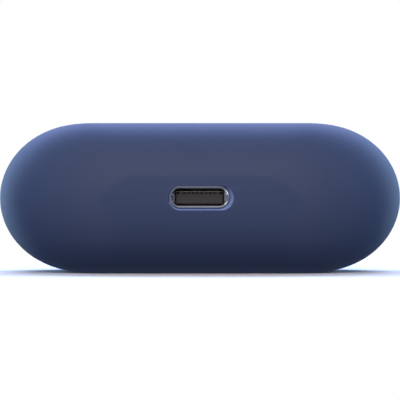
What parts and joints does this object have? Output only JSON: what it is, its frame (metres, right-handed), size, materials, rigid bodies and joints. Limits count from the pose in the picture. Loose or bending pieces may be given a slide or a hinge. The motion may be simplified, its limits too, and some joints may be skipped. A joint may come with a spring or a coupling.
{
  "type": "wireless earbuds case",
  "caption": "Pebble-shaped pocket charging case for wireless earbuds, with a hinged lid, a charging port in its bottom face, and a setup button on its back.",
  "frame": {"origin": "centre of the footprint of the case lying on its front, at the surface it lies on", "axes": "+X along the case's width and the hinge axis, +Y from the charging port's face to the lid's crown, +Z from the front face up to the back face"},
  "size_m": [0.061, 0.046, 0.0225],
  "materials": {
    "case_plastic": "soft-touch satin navy",
    "lining_plastic": "satin dark navy",
    "dark_plastic": "fine matte near-black",
    "silicone": "matte",
    "steel": "bead-blasted and polished",
    "port_steel": "polished",
    "gold_plate": "gold-plated, bright",
    "copper_wire": "enamelled",
    "magnet_nickel": "nickel-plated",
    "board_laminate": "solder mask",
    "flex_film": "polyimide film",
    "pouch_foil": "matte laminate foil",
    "clear_plastic": "frosted clear"
  },
  "bodies": {
    "case_body": {"body_shell": "case_plastic", "earbud_cradle": "lining_plastic", "port_shell": "port_steel", "port_insulator": "dark_plastic", "port_contacts": "gold_plate", "port_gasket": "silicone", "port_bracket": "steel", "board_screw_left": "steel", "board_screw_right": "steel", "main_board": "board_laminate", "charge_controller": "dark_plastic", "main_processor": "dark_plastic", "wireless_power_chip": "dark_plastic", "power_inductor": "magnet_nickel", "battery_cell": "pouch_foil", "battery_lead": "flex_film", "battery_foam": "silicone", "charging_coil": "copper_wire", "coil_ferrite": "dark_plastic", "button_board": "board_laminate", "button_switch": "steel", "button_spring": "steel", "light_pipe": "clear_plastic", "light_board": "board_laminate", "status_light": "clear_plastic", "lid_sensor": "dark_plastic", "contact_block_left": "dark_plastic", "bud_magnet_left": "magnet_nickel", "latch_magnet_left": "magnet_nickel", "contact_block_right": "dark_plastic", "bud_magnet_right": "magnet_nickel", "latch_magnet_right": "magnet_nickel", "contact_flex": "flex_film", "contact_spring_left_outer": "steel", "contact_spring_left_inner": "steel", "contact_spring_right_outer": "steel", "contact_spring_right_inner": "steel", "hinge_base": "steel", "hinge_pin": "steel", "hinge_spring": "steel", "hinge_base_screw_left": "steel", "hinge_base_screw_right": "steel"},
    "lid": {"lid_shell": "case_plastic", "lid_liner": "lining_plastic", "hinge_leaf": "steel", "hinge_leaf_screw_left": "steel", "hinge_leaf_screw_right": "steel", "lid_magnet_left": "magnet_nickel", "lid_magnet_right": "magnet_nickel"},
    "setup_button": {"setup_button": "case_plastic"},
    "plunger_left_outer": {"contact_plunger_left_outer": "gold_plate"},
    "plunger_left_inner": {"contact_plunger_left_inner": "gold_plate"},
    "plunger_right_outer": {"contact_plunger_right_outer": "gold_plate"},
    "plunger_right_inner": {"contact_plunger_right_inner": "gold_plate"}
  },
  "joints": [
    {"name": "lid_hinge", "type": "hinge", "parent": "case_body", "child": "lid", "pos_m": [0, 0.008, 0.0215], "axis": [1, 0, 0], "range_deg": [0, 105], "deforming": ["hinge_spring"]},
    {"name": "setup_button_press", "type": "slide", "parent": "case_body", "child": "setup_button", "axis": [0, 0, -1], "range_m": [0, 0.0003], "stiffness_N_per_m": 300, "springref_m": -0.002, "deforming": ["button_spring"]},
    {"name": "plunger_press_left_outer", "type": "slide", "parent": "case_body", "child": "plunger_left_outer", "axis": [0, -1, 0], "range_m": [0, 0.0005], "stiffness_N_per_m": 200, "springref_m": -0.001, "deforming": ["contact_spring_left_outer"]},
    {"name": "plunger_press_left_inner", "type": "slide", "parent": "case_body", "child": "plunger_left_inner", "axis": [0, -1, 0], "range_m": [0, 0.0005], "stiffness_N_per_m": 200, "springref_m": -0.001, "deforming": ["contact_spring_left_inner"]},
    {"name": "plunger_press_right_outer", "type": "slide", "parent": "case_body", "child": "plunger_right_outer", "axis": [0, -1, 0], "range_m": [0, 0.0005], "stiffness_N_per_m": 200, "springref_m": -0.001, "deforming": ["contact_spring_right_outer"]},
    {"name": "plunger_press_right_inner", "type": "slide", "parent": "case_body", "child": "plunger_right_inner", "axis": [0, -1, 0], "range_m": [0, 0.0005], "stiffness_N_per_m": 200, "springref_m": -0.001, "deforming": ["contact_spring_right_inner"]}
  ]
}
